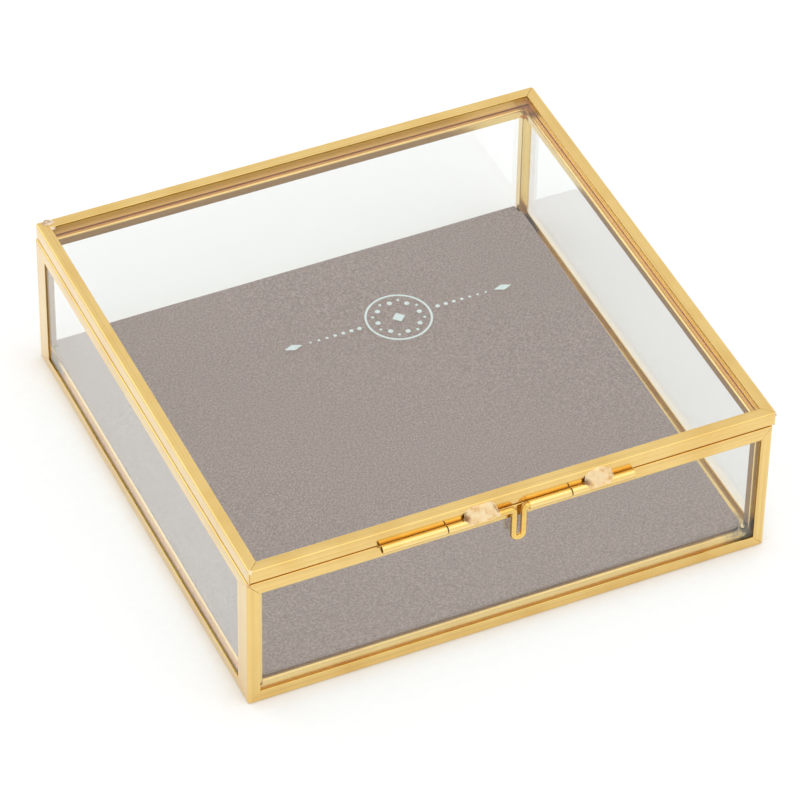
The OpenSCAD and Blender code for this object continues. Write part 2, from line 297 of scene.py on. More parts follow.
def solder(name, shadow_points=()):
    """Plated solder: peach cream with soft lumps, and a painted dark red-brown shadow at each given point."""
    n = Nodes(name)
    lumps = n.noise(n.place, 420.0, 3.0, 0.5)
    pits = n.noise(n.place, 1500.0, 3.0, 0.6)
    colour = n.mix(n.spread(pits, 0.0, 0.3, 0.62, 0.76), n.ramp(lumps, SOLDER_STOPS), PIT_COLOUR)
    # Painted shadow: a dark red-brown spot at each given point, where the blob's side lies in shadow.
    for point in shadow_points:
        colour = n.mix(n.near(point, SHADOW_SPOT_RADIUS), colour, PAINTED_SHADOW_COLOUR)
    normal = n.bump(lumps, 0.35, 0.0003)
    normal = n.bump(pits, 0.2, 0.00005, normal)
    rough = n.spread(pits, 0.3, 0.45)
    shader = n.principled(**{"Base Color": colour, "Metallic": 1.0, "Roughness": rough, "Normal": normal})
    return n.finish(shader.outputs[0])


TARNISH_STOPS = [(0.32, (0.25, 0.12, 0.05)), (0.45, (0.62, 0.42, 0.28)), (0.6, (0.92, 0.79, 0.63))]


def tarnish(name):
    """Old solder at a seam: brown with pinkish cream patches."""
    n = Nodes(name)
    patches = n.noise(n.place, 800.0, 4.0, 0.6)
    shader = n.principled(**{
        "Base Color": n.ramp(patches, TARNISH_STOPS), "Metallic": 0.8,
        "Roughness": n.spread(patches, 0.3, 0.5), "Normal": n.bump(patches, 0.4, 0.0002),
    })
    return n.finish(shader.outputs[0])


def clear_glass(name, tint, mirror):
    """Float glass with a faint waviness and dust film. Shadow and diffuse rays and rays mirrored by the brass
    pass straight through it; rays that the glass itself bends don't."""
    n = Nodes(name)
    waves = n.noise(n.place, 14.0, 2.0)
    film = n.noise(n.place, 38.0, 5.0, 0.6)
    normal = n.bump(waves, 0.04, 0.0003)
    rough = n.spread(film, 0.0, 0.02, 0.45, 0.75)
    colour = n.mix(n.spread(film, 0.0, 1.0), tint, shade(tint, 0.995))
    shader = n.principled(**{
        "Base Color": colour, "Roughness": rough, "Normal": normal,
        "Transmission Weight": 1.0, "IOR": 1.5, "Specular IOR Level": mirror,
    })
    through = n.add("BsdfTransparent")
    through.inputs["Color"].default_value = (0.96, 0.975, 0.97, 1)
    path = n.add("LightPath").outputs
    either = n.math_node("MAXIMUM", path["Is Shadow Ray"], path["Is Diffuse Ray"])
    mirrored = n.math_node("SUBTRACT", path["Is Glossy Ray"], path["Is Transmission Ray"])
    mixer = n.add("MixShader")
    n.link(n.math_node("MAXIMUM", either, mirrored), mixer.inputs[0])
    n.link(shader.outputs[0], mixer.inputs[1])
    n.link(through.outputs[0], mixer.inputs[2])
    return n.finish(mixer.outputs[0])


NAP_STOPS = [(0.35, (0.172, 0.129, 0.112)), (0.5, (0.272, 0.208, 0.185)), (0.65, (0.412, 0.324, 0.292))]
BROAD_COLOUR = (0.287, 0.225, 0.198)
FIBRE_COLOUR = (0.42, 0.336, 0.303)


def suede(name):
    """Short warm taupe suede: mottled nap, fine fibres and a soft sheen."""
    n = Nodes(name)
    broad = n.noise(n.place, 26.0, 3.0, 0.5)
    nap = n.noise(n.place, 1450.0, 2.0, 0.6)
    fibre = n.noise(n.place, 2600.0, 2.0, 0.6)
    colour = n.mix(n.spread(broad, 0.0, 0.2), n.ramp(nap, NAP_STOPS), BROAD_COLOUR)
    colour = n.mix(n.spread(fibre, 0.0, 0.4), colour, FIBRE_COLOUR)
    normal = n.bump(nap, 0.06, 0.0002)
    normal = n.bump(fibre, 0.06, 0.0001, normal)
    shader = n.principled(**{
        "Base Color": colour, "Roughness": n.spread(fibre, 0.85, 1.0), "Normal": normal,
        "Sheen Weight": 0.1, "Sheen Roughness": 0.5, "Specular IOR Level": 0.15,
    })
    return n.finish(shader.outputs[0])


def print_ink(name):
    """Pale mint ink, slightly thinner here and there."""
    n = Nodes(name)
    cover = n.noise(n.place, 900.0, 4.0, 0.6)
    colour = n.ramp(cover, [(0.3, (0.55, 0.64, 0.615)), (0.7, (0.64, 0.73, 0.705))])
    shader = n.principled(**{
        "Base Color": colour, "Roughness": n.spread(cover, 0.35, 0.5),
        "Normal": n.bump(cover, 0.2, 0.00002),
    })
    return n.finish(shader.outputs[0])


def paper_floor(name):
    """Plain pale floor."""
    n = Nodes(name)
    grain = n.noise(n.place, 300.0, 3.0)
    colour = n.ramp(grain, [(0.3, (0.93, 0.93, 0.93)), (0.7, (0.95, 0.95, 0.95))])
    shader = n.principled(**{
        "Base Color": colour, "Roughness": n.spread(grain, 0.9, 1.0),
        "Emission Color": (1.0, 1.0, 1.0, 1.0), "Emission Strength": 0.045,
    })
    return n.finish(shader.outputs[0])


STRIP_TONES = ((0.855, 0.595, 0.19), (0.79, 0.51, 0.13), 0.16, 0.24)
TUBE_TONES = ((0.93, 0.68, 0.24), (0.88, 0.6, 0.17), 0.08, 0.16)
WIRE_TONES = ((0.9, 0.6, 0.13), (0.82, 0.5, 0.09), 0.08, 0.16)
patch_corner = (base_right - rim_w, base_front + rim_w, ledge_top)
BRASS_X = brass("brass_along_x", X, *STRIP_TONES, dark_patch=patch_corner)
BRASS_Y = brass("brass_along_y", Y, *STRIP_TONES, dark_patch=patch_corner)
BRASS_Z = brass("brass_upright", Z, *STRIP_TONES, dark_patch=patch_corner)
BRASS_TUBE = brass("brass_tube", X, *TUBE_TONES)
tube_ends = [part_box(f"hinge_tube_{where}")[1].x + tube_gap / 2 for where in ("base_left", "base_middle")]
BRASS_WIRE = brass("brass_wire", X, *WIRE_TONES, joints=[(x, hinge_y, hinge_z) for x in tube_ends])
SOLDER = solder("solder")
blob_starts = [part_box(f"hinge_solder_lid_{where}")[0].x for where in ("left", "right")]
# Points of the painted shadow just left of each lid blob's start.
shadow_before, shadow_y, shadow_z = 1.1 * MM, hinge_y + 0.2 * tube_r, hinge_z + 1.15 * tube_r
BLOB = solder("solder_blobs", [(x - shadow_before, shadow_y, shadow_z) for x in blob_starts])
TARNISH = tarnish("tarnished_solder")
PANE_TINT, FLOOR_TINT = (0.985, 0.995, 0.99), (0.96, 0.98, 0.97)
SIDE_GLASS = clear_glass("side_glass_clear", PANE_TINT, 0.5)
WALL_GLASS = clear_glass("wall_glass_clear", PANE_TINT, 0.2)
LID_GLASS = clear_glass("lid_glass_clear", PANE_TINT, 0.2)
FLOOR_GLASS = clear_glass("floor_glass_clear", FLOOR_TINT, 0.5)
SUEDE = suede("suede_taupe")
INK = print_ink("print_mint")


# ---------------------------------------------------------------- mesh helpers
def piece(name, verts, faces, material, body, nodes=(), sharp=35):
    """Makes a mesh, rides it on a body and lets it stand for CAD nodes."""
    mesh = bpy.data.meshes.new(name)
    mesh.from_pydata([tuple(v) for v in verts], [], faces)
    mesh.validate()
    mesh.materials.append(material)
    obj = bpy.data.objects.new(name, mesh)
    bpy.context.scene.collection.objects.link(obj)
    mesh.polygons.foreach_set("use_smooth", [True] * len(mesh.polygons))
    mesh.set_sharp_from_angle(angle=math.radians(sharp))
    weighted = obj.modifiers.new("even_flats", "WEIGHTED_NORMAL")
    weighted.keep_sharp = True
    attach(obj, body)
    if nodes:
        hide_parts(*nodes)
    return obj


def loft(rings, verts=None, faces=None, loop=False):
    """Quads between closed rings of equal length, with both ends capped."""
    verts = [] if verts is None else verts
    faces = [] if faces is None else faces
    count = len(rings[0])
    start = len(verts)
    for ring in rings:
        verts.extend(ring)
    spans = len(rings) if loop else len(rings) - 1
    for i in range(spans):
        a = start + i * count
        b = start + ((i + 1) % len(rings)) * count
        for k in range(count):
            m = (k + 1) % count
            faces.append((a + k, a + m, b + m, b + k))
    if not loop:
        faces.append(tuple(start + k for k in reversed(range(count))))
        faces.append(tuple(start + (len(rings) - 1) * count + k for k in range(count)))
    return verts, faces


def rounded(points, radii, steps=4):
    """A closed 2-D outline with each corner rounded to its own radius."""
    result = []
    for i, (corner, radius) in enumerate(zip(points, radii)):
        before, after = Vector(points[i - 1]), Vector(points[(i + 1) % len(points)])
        corner = Vector(corner)
        to_before, to_after = (before - corner).normalized(), (after - corner).normalized()
        half = to_before.angle(to_after) / 2
        reach = radius / math.tan(half)
        centre = corner + (to_before + to_after).normalized() * radius / math.sin(half)
        first, last = corner + to_before * reach - centre, corner + to_after * reach - centre
        turn = first.angle_signed(last)
        for k in range(steps + 1):
            spin = Matrix.Rotation(-turn * k / steps, 2)
            result.append(tuple(centre + spin @ first))
    return result


def inset(points, amount):
    """Moves every point of a closed outline inwards along its own normal."""
    area = sum(a[0] * b[1] - b[0] * a[1] for a, b in zip(points, points[1:] + points[:1]))
    side = 1 if area > 0 else -1
    result = []
    for i, point in enumerate(points):
        before, after = Vector(points[i - 1]), Vector(points[(i + 1) % len(points)])
        along = (after - before).normalized()
        result.append((point[0] - along.y * amount * side, point[1] + along.x * amount * side))
    return result


def wobble(s, seed, amount, length):
    """Smooth hand-made unevenness along a strip."""
    return amount * noise.noise(Vector((s / length, seed * 7.31, 0.5)))


def corner_rounded(point, w, d, radius):
    """Turns the square outer corners of a w by d block into round ones."""
    x, y = abs(point[0]), abs(point[1])
    cx, cy = w / 2 - radius, d / 2 - radius
    if x <= cx or y <= cy:
        return point
    vx, vy = x - cx, y - cy
    shrink = max(vx, vy) / math.hypot(vx, vy)
    sx, sy = math.copysign(1, point[0]), math.copysign(1, point[1])
    return (sx * (cx + vx * shrink), sy * (cy + vy * shrink), point[2])


TURNS = [(1, 0), (0, 1), (-1, 0), (0, -1)]
SIDE_NAMES = ["front", "right", "back", "left"]
BRASS_BY_SIDE = [BRASS_X, BRASS_Y, BRASS_X, BRASS_Y]
SEAM = 0.11 * MM
END_STEPS = [step * MM for step in (0, 0.12, 0.3, 0.6, 1, 1.5, 2.4)]
RIM_SWAY, LID_SWAY = 0.03 * MM, 0.035 * MM
SWAY_LENGTH_IN, SWAY_LENGTH_UP, SWAY_LENGTH_POST = 45 * MM, 38 * MM, 30 * MM
SWAY_FADE = 12 * MM


def strip_mesh(side, middle_x, w, d, outline, end_left, end_right, seed, sway):
    """One folded strip of a w by d frame about middle_x, from seam to seam, with slightly uneven faces."""
    across = d if side % 2 == 0 else w
    length = w if side % 2 == 0 else d
    cos, sin = TURNS[side]
    small = inset(outline, SEAM)
    margin = END_STEPS[-1]
    steps = 24
    rings = []
    places = [("start", e) for e in END_STEPS]
    places += [("middle", k / steps) for k in range(1, steps)]
    places += [("end", e) for e in reversed(END_STEPS)]
    for kind, value in places:
        shape = small if kind != "middle" and value == 0 else outline
        ring = []
        for inside, z in shape:
            x0 = -length / 2 + end_left(inside, z)
            x1 = length / 2 - end_right(inside, z)
            if kind == "start":
                x = x0 + value
            elif kind == "end":
                x = x1 - value
            else:
                x = x0 + margin + (x1 - x0 - 2 * margin) * value
            ease = min(1, (length / 2 - abs(x)) / SWAY_FADE)
            y = -across / 2 + inside + wobble(x, seed, sway, SWAY_LENGTH_IN) * ease
            height = z + wobble(x, seed + 3, sway, SWAY_LENGTH_UP) * ease
            point = (x * cos - y * sin, x * sin + y * cos, height)
            point = corner_rounded(point, w, d, corner_round)
            ring.append((point[0] + middle_x, point[1] + middle_y, point[2]))
        rings.append(ring)
    return loft(rings)


# ---------------------------------------------------------------- base frame
fold_r, soft_r, lap_r, lip_r = 0.62 * MM, 0.85 * MM, 0.3 * MM, 0.23 * MM
inner_r, edge_r = 0.12 * MM, 0.1 * MM
leg_t = sheet - off_glass
rim_ceiling = base_top - sheet
top_leg_low = base_top - top_rim_h
inner_low = rim_ceiling - top_inner_h
ledge_low = ledge_top - sheet

top_rim_outline = rounded(
    [
        (0, top_leg_low), (leg_t, top_leg_low), (leg_t, rim_ceiling + off_glass),
        (rim_w - sheet, rim_ceiling + off_glass),
        (rim_w - sheet, inner_low), (rim_w, inner_low), (rim_w, base_top), (0, base_top),
    ],
    [edge_r, edge_r, inner_r, inner_r, edge_r, edge_r, soft_r, fold_r],
)
# The bottom rim's inner fold leans forward from the ledge down to its foot.
fold_foot = tube_in + 0.25 * MM
fold_drop = 3.1 * MM
crest_r, under_ledge_r = 0.9 * MM, 0.4 * MM
bottom_rim_outline = rounded(
    [
        (0, 0), (rim_w, 0), (rim_w, ledge_low), (ledge_in, ledge_low), (ledge_in, ledge_top),
        (rim_w - sheet, ledge_top), (fold_foot, ledge_top - fold_drop), (fold_foot, leg_t), (leg_t, leg_t),
        (leg_t, bottom_rim_h), (0, bottom_rim_h),
    ],
    [soft_r, lap_r, under_ledge_r, lip_r, lip_r, crest_r, lap_r, inner_r, inner_r, edge_r, edge_r],
)


def top_end(face):
    """How far a top rim's end stands back at a point of its outline, for a post face of that width."""
    def end(inside, z):
        if inside <= sheet + SEAM and z < rim_ceiling + SEAM:
            return max(inside, face * (base_top - z) / top_rim_h)
        return inside
    return end


def bottom_end(face):
    """The same for a bottom rim's end."""
    def end(inside, z):
        if inside <= sheet + SEAM:
            return max(inside, face * z / bottom_rim_h)
        return inside
    return end


POST_FACES = [
    (post_face_left, post_face_right), (post_side_right, post_side_right),
    (post_face_right, post_face_left), (post_side_left, post_side_left),
]
for side, name in enumerate(SIDE_NAMES):
    left, right = POST_FACES[side]
    for rim, outline, rim_end, seed in (
        ("top_rim", top_rim_outline, top_end, side + 1),
        ("bottom_rim", bottom_rim_outline, bottom_end, side + 5),
    ):
        verts, faces = strip_mesh(
            side, base_x, base_w, base_d, outline, rim_end(left), rim_end(right), seed, RIM_SWAY)
        piece(f"{rim}_{name}", verts, faces, BRASS_BY_SIDE[side], "base", [f"base_{rim}_{name}"])


post_tube_r = 0.35 * MM


def post_mesh(sx, sy):
    """A folded L with slanted seams at both ends, and the square tube inside the glass."""
    face = post_face_right if sx > 0 else post_face_left
    side = post_side_right if sx > 0 else post_side_left
    outline = rounded(
        [(0, 0), (face, 0), (face, leg_t), (leg_t, leg_t), (leg_t, side), (0, side)],
        [corner_round, edge_r, edge_r, inner_r, edge_r, edge_r], 5,
    )
    small = inset(outline, SEAM)
    steps = 16
    rings = []
    places = [("low", e) for e in END_STEPS[:4]]
    places += [("middle", k / steps) for k in range(1, steps)]
    places += [("high", e) for e in reversed(END_STEPS[:4])]
    for kind, value in places:
        shape = small if kind != "middle" and value == 0 else outline
        ring = []
        for px, py in shape:
            share = px / face if py <= px else py / side
            share = min(1, max(0.04, share))
            low, high = bottom_rim_h * share, base_top - top_rim_h * share
            if kind == "low":
                z = low + value
            elif kind == "high":
                z = high - value
            else:
                z = low + (high - low) * value
            sway = wobble(z, 20 + sx + 2 * sy, RIM_SWAY, SWAY_LENGTH_POST) * math.sin(math.pi * z / base_top)
            x = sx * (base_w / 2 - px - sway) + base_x
            y = sy * (base_d / 2 - py - sway) + middle_y
            ring.append((x, y, z))
        rings.append(ring)
    verts, faces = loft(rings)
    near = tube_in + off_glass
    square = [(near, near), (tube_out, near), (tube_out, tube_out), (near, tube_out)]
    tube = rounded(square, [post_tube_r] * len(square))
    levels = [ledge_top + (inner_low - ledge_top) * k / 12 for k in range(13)]
    tube_rings = [
        [(sx * (base_w / 2 - px) + base_x, sy * (base_d / 2 - py) + middle_y, z) for px, py in tube]
        for z in levels
    ]
    loft(tube_rings, verts, faces)
    if sx * sy < 0:
        faces = [tuple(reversed(f)) for f in faces]
    return verts, faces


for sx, across_name in ((-1, "left"), (1, "right")):
    for sy, depth_name in ((-1, "front"), (1, "back")):
        verts, faces = post_mesh(sx, sy)
        name = f"post_{depth_name}_{across_name}"
        piece(f"{name}_folded", verts, faces, BRASS_Z, "base", [name])

# ---------------------------------------------------------------- lid frame
lip_in = sheet + lid_lip


def lid_outline(low):
    """The lid strip's section down to its own lower edge, with a wall under the glass."""
    under_glass, over_glass = glass_low - off_glass, glass_top + off_glass
    return rounded(
        [
            (0, low), (lip_in, low), (lip_in, under_glass), (lip_in - sheet, under_glass),
            (lip_in - sheet, low + sheet), (leg_t, low + sheet),
            (leg_t, over_glass), (lid_flange, over_glass), (lid_flange, lid_top), (0, lid_top),
        ],
        [lap_r, lap_r, edge_r, edge_r, inner_r, inner_r, inner_r, edge_r, lap_r * 0.6, fold_r],
    )


def mitre(inside, z):
    """A lid strip's end stands back as far as the point lies inside the frame."""
    return inside


for side, name in enumerate(SIDE_NAMES):
    outline = lid_outline(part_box(f"lid_strip_{name}")[0].z)
    verts, faces = strip_mesh(side, lid_x, lid_w, lid_d, outline, mitre, mitre, side + 11, LID_SWAY)
    piece(f"lid_{name}", verts, faces, BRASS_BY_SIDE[side], "lid", [f"lid_strip_{name}"])

# ---------------------------------------------------------------- panes keep their CAD solids
for name, glass_material in (
    ("pane_front", WALL_GLASS), ("pane_back", WALL_GLASS), ("pane_left", SIDE_GLASS),
    ("pane_right", SIDE_GLASS), ("lid_glass", LID_GLASS), ("bottom_panel", FLOOR_GLASS),
):
    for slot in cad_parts[name].material_slots:
        slot.material = glass_material


# ---------------------------------------------------------------- hinge
def circle(radius, count):
    """Points on a circle about zero, in the plane."""
    turns = [2 * math.pi * k / count for k in range(count)]
    return [(radius * math.cos(a), radius * math.sin(a)) for a in turns]


def hinge_ring(x, radius):
    """A ring about the hinge line."""
    return [(x, hinge_y + y, hinge_z + z) for y, z in circle(radius, 56)]


tube_edge = 0.14 * MM


def tube_mesh(x0, x1):
    """A tube with softened end edges."""
    c = tube_edge
    turns = [
        (x0 + c, bore_r), (x0 + 0.3 * c, bore_r + 0.3 * c), (x0, bore_r + c), (x0, tube_r - c),
        (x0 + 0.3 * c, tube_r - 0.3 * c), (x0 + c, tube_r), (x0 + 6 * c, tube_r), (x1 - 6 * c, tube_r),
        (x1 - c, tube_r), (x1 - 0.3 * c, tube_r - 0.3 * c), (x1, tube_r - c), (x1, bore_r + c),
        (x1 - 0.3 * c, bore_r + 0.3 * c), (x1 - c, bore_r),
    ]
    return loft([hinge_ring(x, r) for x, r in turns], loop=True)


for node, body in (
    ("hinge_tube_base_left", "base"), ("hinge_tube_base_middle", "base"),
    ("hinge_tube_lid_left", "lid"), ("hinge_tube_lid_right", "lid"),
):
    low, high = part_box(node)
    verts, faces = tube_mesh(low.x, high.x)
    piece(f"{node}_turned", verts, faces, BRASS_TUBE, body, [node], 50)


def pin_path():
    """The wire's centre line: along the hinge, down round the loop and on along the hinge."""
    leg, bend, lean = 1.9 * MM, 1.5 * MM, 0.12 * MM
    tip, step = 0.2 * MM, 2 * MM
    left_end, right_end = pin_low.x - lid_x, pin_high.x - lid_x
    drop = pin_low.z + wire_r + leg - hinge_z
    quarter = [math.pi / 2 * k / 8 for k in range(1, 9)]
    route = [(left_end, 0), (left_end + tip, 0)]
    route += [(-leg - bend - k * step, 0) for k in (3, 2, 1, 0)]
    route += [(-leg - bend + bend * math.sin(a), -bend + bend * math.cos(a)) for a in quarter]
    route += [(-leg, -bend + (drop + bend) * t) for t in (0.33, 0.66, 1)]
    for k in range(1, 17):
        a = math.pi * k / 16
        route.append((-leg * math.cos(a) + lean * math.sin(a), drop - leg * math.sin(a)))
    route += [(leg, -bend + (drop + bend) * t) for t in (0.66, 0.33, 0)]
    route += [(leg + bend - bend * math.cos(a), -bend + bend * math.sin(a)) for a in quarter]
    route += [(leg + bend + k * step, 0) for k in (1, 2, 3)]
    route += [(right_end - tip, 0), (right_end, 0)]
    return [Vector((x, 0, z)) for x, z in route]


def wire_mesh(points, radius):
    """A round wire along a path in the XZ plane of the hinge line, with softened tips."""
    rings = []
    side = Vector((0, 1, 0))
    last = len(points) - 1
    for i, point in enumerate(points):
        ahead = (points[min(i + 1, last)] - points[max(i - 1, 0)]).normalized()
        up = ahead.cross(side)
        ring = []
        for across, rise in circle(radius * (0.8 if i in (0, last) else 1), 28):
            place = point + side * across + up * rise
            ring.append((place.x + lid_x, place.y + hinge_y, place.z + hinge_z))
        rings.append(ring)
    return loft(rings)


verts, faces = wire_mesh(pin_path(), wire_r)
piece("pin_wire", verts, faces, BRASS_WIRE, "pin", ["hinge_pin"], 60)


def bezier(points, steps):
    """A smooth curve through control points, by repeated halving between neighbours."""
    result = []
    for k in range(steps + 1):
        t = k / steps
        row = [Vector(p) for p in points]
        while len(row) > 1:
            row = [a.lerp(b, t) for a, b in zip(row, row[1:])]
        result.append(row[0])
    return result


def blob_mesh(x0, x1, outer, inner, back, seed, lump, narrow=0.0):
    """A lump that swells from inner to outer between x0 and x1, and is narrower at the outlines' far end.
    The points of back close it inside the metal."""
    steps = 40
    coarse, fine = 380, 900
    middle, half = (x0 + x1) / 2, (x1 - x0) / 2
    rings = []
    for i in range(steps + 1):
        u = -1 + 2 * i / steps
        x = middle + half * u
        ring = []
        for k, (o, p) in enumerate(zip(outer, inner)):
            v = k / (len(outer) - 1)
            edge = 1 + 0.12 * noise.noise(Vector((seed, v * 3, 0)))
            swell = max(0.0, 1 - (u / edge) ** 2) ** 0.85
            place = p.lerp(o, swell)
            rise = noise.noise(Vector((x * coarse + seed, place.x * coarse, place.y * coarse)))
            rise += 0.2 * noise.noise(Vector((x * fine, place.x * fine + seed, place.y * fine)))
            place = place + (o - p).normalized() * lump * swell * rise
            ring.append((middle + half * u * (1 - narrow * v * v), place.x, place.y))
        for k, (y, z) in enumerate(back):
            v = 1 - k / (len(back) - 1)
            ring.append((middle + half * u * (1 - narrow * v * v), y, z))
        rings.append(ring)
    return loft(rings)


def lid_blob(node, seed, grow_left, grow_right):
    """A blob over a lid tube and up the front strip, wider than its CAD solid."""
    low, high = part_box(node)
    face = lid_front
    outer = bezier([
        (hinge_y - tube_r * 1.05, hinge_z + 0.2 * MM), (hinge_y - tube_r * 1.15, hinge_z + 2.0 * MM),
        (face - 1.9 * MM, hinge_z + 3.0 * MM), (face - 1.0 * MM, lid_top - 1.3 * MM),
        (face - 0.5 * MM, lid_top - 0.3 * MM), (face + 0.3 * MM, lid_top - 0.25 * MM),
    ], 22)
    inner = bezier([
        (hinge_y - tube_r * 0.93, hinge_z + 0.2 * MM), (hinge_y - tube_r * 0.5, hinge_z + tube_r * 1.1),
        (face + 0.1 * MM, hinge_z + tube_r * 0.8), (face + 0.15 * MM, lid_top - 2 * MM),
        (face + 0.2 * MM, lid_top - 0.5 * MM), (face + 0.35 * MM, lid_top - 0.45 * MM),
    ], 22)
    wall_r = (bore_r + tube_r) / 2
    back = [(face + 0.45 * MM, lid_top - 0.35 * MM), (face + 0.45 * MM, hinge_z + 0.9 * MM)]
    back += [(hinge_y + wall_r * math.cos(math.radians(a)), hinge_z + wall_r * math.sin(math.radians(a)))
             for a in range(40, 161, 20)]
    left, right = low.x - grow_left, high.x + grow_right
    verts, faces = blob_mesh(left, right, outer, inner, back, seed, 0.34 * MM, 0.4)
    piece(f"{node}_blob", verts, faces, BLOB, "lid", [node], 60)


lid_blob("hinge_solder_lid_left", 3.0, 2.4 * MM, 1.7 * MM)
lid_blob("hinge_solder_lid_right", 9.0, 2.2 * MM, 2.2 * MM)


def base_fillet(node, seed):
    """The thin solder between a base tube and the top rim's face."""
    low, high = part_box(node)
    outer = bezier([
        (base_front + 0.02 * MM, low.z - 0.25 * MM), (base_front - 0.35 * MM, low.z + 0.35 * MM),
        (hinge_y + 0.5 * tube_r, low.z + 0.2 * MM), (hinge_y + 0.25 * tube_r, hinge_z - 0.9 * tube_r),
    ], 10)
    inner = [Vector((base_front + 0.1 * MM, p.y)) if k < 5 else p.lerp(Vector((hinge_y, hinge_z)), 0.15)
             for k, p in enumerate(outer)]
    back = [(hinge_y + 0.4 * tube_r, hinge_z - 0.6 * MM), (base_front + 0.12 * MM, hinge_z - 0.6 * MM)]
    verts, faces = blob_mesh(low.x, high.x, outer, inner, back, seed, 0.1 * MM)
    piece(f"{node}_fillet", verts, faces, SOLDER, "base", [node], 60)


base_fillet("hinge_solder_base_left", 5.0)
base_fillet("hinge_solder_base_middle", 7.0)


def uneven_ball(centre, half, seed, rows, around, amount, bumps):
    """A ball with the given half sizes, made uneven by noise."""
    rings = []
    for i in range(1, rows):
        a = math.pi * i / rows
        ring = []
        for x, y in circle(math.sin(a), around):
            n = Vector((x, y, math.cos(a)))
            r = 1 + amount * noise.noise(n * bumps + Vector((seed, 0, 0)))
            ring.append(tuple(c + part * h * r for c, part, h in zip(centre, n, half)))
        rings.append(ring)
    return loft(rings)


def bead(node, body, seed):
    """A small uneven drop in the place of a CAD bead."""
    low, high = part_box(node)
    verts, faces = uneven_ball((low + high) / 2, (high - low) / 2, seed, 12, 20, 0.16, 1.7)
    piece(f"{node}_drop", verts, faces, SOLDER, body, [node], 60)


bead("base_corner_solder", "base", 1.0)
bead("lid_corner_solder", "lid", 2.0)


def drop_of_solder(name, body, material, corner, offset, half, seed):
    """A small flat lump of solder where two strips meet. Its offset from a corner of the frame and its half
    sizes are in millimetres."""
    centre = [c + o * MM for c, o in zip(corner, offset)]
    verts, faces = uneven_ball(centre, [h * MM for h in half], seed, 10, 16, 0.35, 1.9)
    obj = piece(name, verts, faces, material, body, sharp=60)


lid_front_left = (lid_left, lid_front, lid_top)
lid_front_right = (lid_right, lid_front, lid_top)
lid_back_left = (lid_left, lid_back, lid_top)
base_front_left = (base_left, base_front, base_top)
drop_of_solder("lid_drop_front_left", "lid", SOLDER,
               lid_front_left, (0.75, 0.75, -0.55), (0.95, 0.95, 0.75), 3.0)
drop_of_solder("lid_drop_front_right", "lid", TARNISH,
               lid_front_right, (-0.55, 0.6, -0.9), (0.62, 0.65, 0.8), 5.0)
drop_of_solder("lid_seam_back_left", "lid", TARNISH,
               lid_back_left, (4.4, -1.5, -0.05), (2.5, 1.5, 0.24), 8.0)
drop_of_solder("lid_seam_back_left_inner", "lid", TARNISH,
               lid_back_left, (4.9, -4.6, -0.35), (1.5, 1.2, 0.36), 9.0)
drop_of_solder("base_drop_front_left", "base", SOLDER,
               base_front_left, (0.8, 0.8, -0.5), (1.0, 1.0, 0.65), 6.0)


# ---------------------------------------------------------------- suede pad
# The pad is wrapped by hand: its right side runs a little out of square, its back edge reaches past the CAD
# solid and its back right corner stands up slightly.
pad_right_front = pad_top.x - 0.7 * MM
pad_right_back = pad_top.x + 0.65 * MM
pad_back = pad_top.y + 1.2 * MM
pad_corner_lift = 1.2 * MM
pad_unevenness = 0.12 * MM
pad_left_r, pad_right_r, pad_cut_r = 4.2 * MM, 3.2 * MM, 0.5 * MM
pad_size = pad_top - pad_low
LONG_EDGE = 20 * MM
LONG_EDGE_PARTS = 20


def pad_outline(shrink):
    """The pad's edge, drawn in by a distance, with the back corners cut out around the post tubes."""
    by_tube = tube_out + 0.3 * MM
    cut_left, cut_right, cut_back = base_left + by_tube, base_right - by_tube, base_back - by_tube
    corners = [
        (pad_low.x, pad_low.y), (pad_right_front, pad_low.y),
        (pad_right_back, cut_back), (cut_right, cut_back), (cut_right, pad_back),
        (cut_left, pad_back), (cut_left, cut_back), (pad_low.x, cut_back),
    ]
    radii = [pad_left_r, pad_right_r] + [pad_cut_r] * 6
    centre = (pad_low + pad_top) / 2
    moved = []
    for x, y in corners:
        moved.append((x - math.copysign(shrink, x - centre.x), y - math.copysign(shrink, y - centre.y)))
    arcs = rounded(moved, [max(pad_cut_r, r - shrink) for r in radii], 8)
    points = []
    for i, point in enumerate(arcs):
        following = arcs[(i + 1) % len(arcs)]
        points.append(point)
        if math.dist(point, following) > LONG_EDGE:
            start, end = Vector(point), Vector(following)
            points += [tuple(start.lerp(end, k / LONG_EDGE_PARTS)) for k in range(1, LONG_EDGE_PARTS)]
    return points


# How far each ring of the pad is drawn in, in millimetres, and its share of the pad's thickness.
LEVELS = [
    (1.2, 0.0), (0.35, 0.02), (0.1, 0.12), (0.0, 0.3), (0.0, 0.6), (0.08, 0.8), (0.28, 0.93), (0.6, 0.985),
]
LEVELS += [(drawn_in, 1.0) for drawn_in in (1.2, 2.5, 5, 9, 15, 23, 33, 45, 60, 78)]
pad_rings = []
for drawn_in, share in LEVELS:
    ring = []
    for x, y in pad_outline(drawn_in * MM):
        corner_share = (x - pad_low.x) / pad_size.x * (y - pad_low.y) / pad_size.y
        z = pad_low.z + (pad_size.z + max(0.0, pad_corner_lift * corner_share)) * share
        if share > 0.9:
            z += pad_unevenness * (noise.noise(Vector((x * 30, y * 30, 1))) - 0.5)
        ring.append((x, y, z))
    pad_rings.append(ring)
verts, faces = loft(pad_rings)
pad = piece("pad_of_suede", verts, faces, SUEDE, "base", ["suede_pad"], 80)


# ---------------------------------------------------------------- pale print on the lid
# Sizes and places here are in millimetres from the lid's middle.
ink_low = glass_top + 0.004 * MM
ink_high = glass_top + 0.05 * MM
ring_r, ring_line = 12, 0.8
small_dot, large_dot = (9.4, 0.55), (8.2, 0.95)
row_start, row_step, row_dot, row_fade = 15.5, 3.2, 0.85, 0.07
row_dots, end_diamond_x = 7, 41.5


